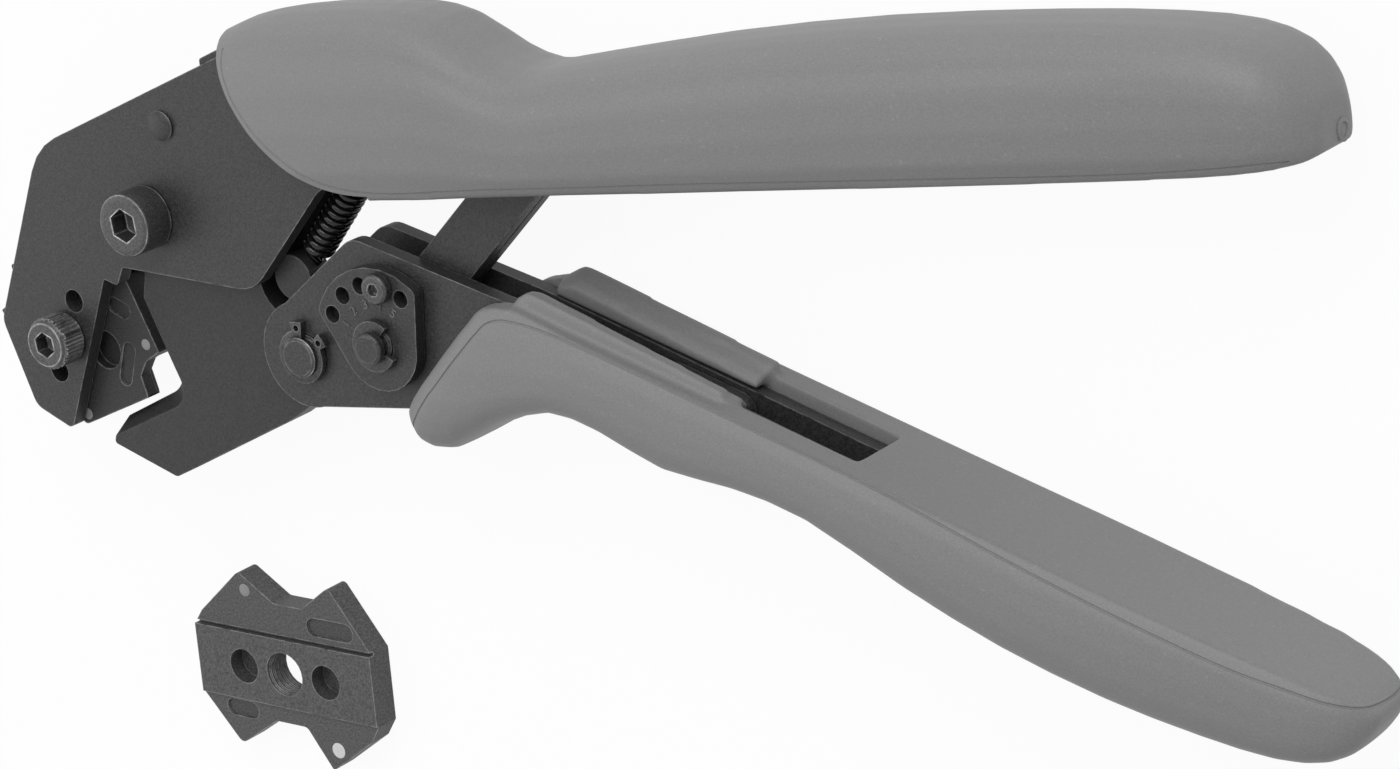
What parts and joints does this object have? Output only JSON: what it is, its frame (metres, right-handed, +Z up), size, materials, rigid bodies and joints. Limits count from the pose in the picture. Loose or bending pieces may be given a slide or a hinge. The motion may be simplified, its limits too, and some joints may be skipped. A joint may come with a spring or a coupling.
{
  "type": "crimping plier",
  "caption": "Hand crimping plier with a ratchet toggle linkage, a screwed-in die facing a notched moving jaw, moulded grips and a spare die lying beside it.",
  "frame": {"origin": "on the main pivot axis, at the surface that the tool lies on", "axes": "+X from the pivot to the handles, +Y to the upper handle, +Z up out of the front face"},
  "size_m": [0.2027, 0.1053, 0.02],
  "materials": {
    "black_steel": "black oxide, satin",
    "die_steel": "blasted and oxidised, worn edges",
    "screw_steel": "dark oiled steel",
    "clip_steel": "phosphated spring steel",
    "spring_steel": "glossy black coated wire",
    "grip_plastic": "fine matte moulded grey"
  },
  "bodies": {
    "head": {"head_plate_front": "black_steel", "head_plate_rear": "black_steel", "head_spacer": "black_steel", "spacer_rivet": "screw_steel", "spring_peg": "screw_steel", "strut_pin": "screw_steel", "head_rivet": "black_steel", "pivot_screw": "screw_steel", "pivot_bush": "screw_steel", "pivot_nut": "screw_steel", "fixed_die": "die_steel", "die_screw": "screw_steel", "upper_grip": "grip_plastic", "loose_die": "die_steel"},
    "jaw": {"moving_jaw": "black_steel", "return_spring": "spring_steel"},
    "handle": {"handle_plate_front": "black_steel", "handle_plate_rear": "black_steel", "handle_rivet_1": "screw_steel", "handle_rivet_2": "screw_steel", "handle_spacer_1": "black_steel", "handle_spacer_2": "black_steel", "jaw_pin": "black_steel", "circlip_front": "clip_steel", "circlip_rear": "clip_steel", "adjust_pin": "black_steel", "adjust_wheel": "black_steel", "wheel_clip": "clip_steel", "wheel_lock_screw": "screw_steel", "pawl_pin": "screw_steel", "pawl_spring": "clip_steel", "lower_grip": "grip_plastic"},
    "strut": {"strut_plate_front": "black_steel", "strut_plate_rear": "black_steel", "strut_rivet": "black_steel"},
    "pawl": {"pawl": "black_steel"}
  },
  "joints": [
    {"name": "jaw_pivot", "type": "hinge", "parent": "head", "child": "jaw", "pos_m": [0, 0, 0.01], "axis": [0, 0, 1], "range_deg": [-2.45, 0], "deforming": ["return_spring"]},
    {"name": "handle_pivot", "type": "hinge", "parent": "jaw", "child": "handle", "pos_m": [0.0223, -0.0185, 0.01], "axis": [0, 0, 1], "range_deg": [0, 20.4]},
    {"name": "strut_pivot", "type": "hinge", "parent": "head", "child": "strut", "pos_m": [0.07047, 0.01138, 0.01], "axis": [0, 0, 1], "range_deg": [-5.1, 0]},
    {"name": "pawl_pivot", "type": "hinge", "parent": "handle", "child": "pawl", "pos_m": [0.0522, -0.0186, 0.01], "axis": [0, 0, 1], "range_deg": [-6, 6]}
  ],
  "couplings": [
    {"joint": "jaw_pivot", "follows": "handle_pivot", "ratio": -0.1189},
    {"joint": "strut_pivot", "follows": "handle_pivot", "ratio": -0.2483}
  ]
}
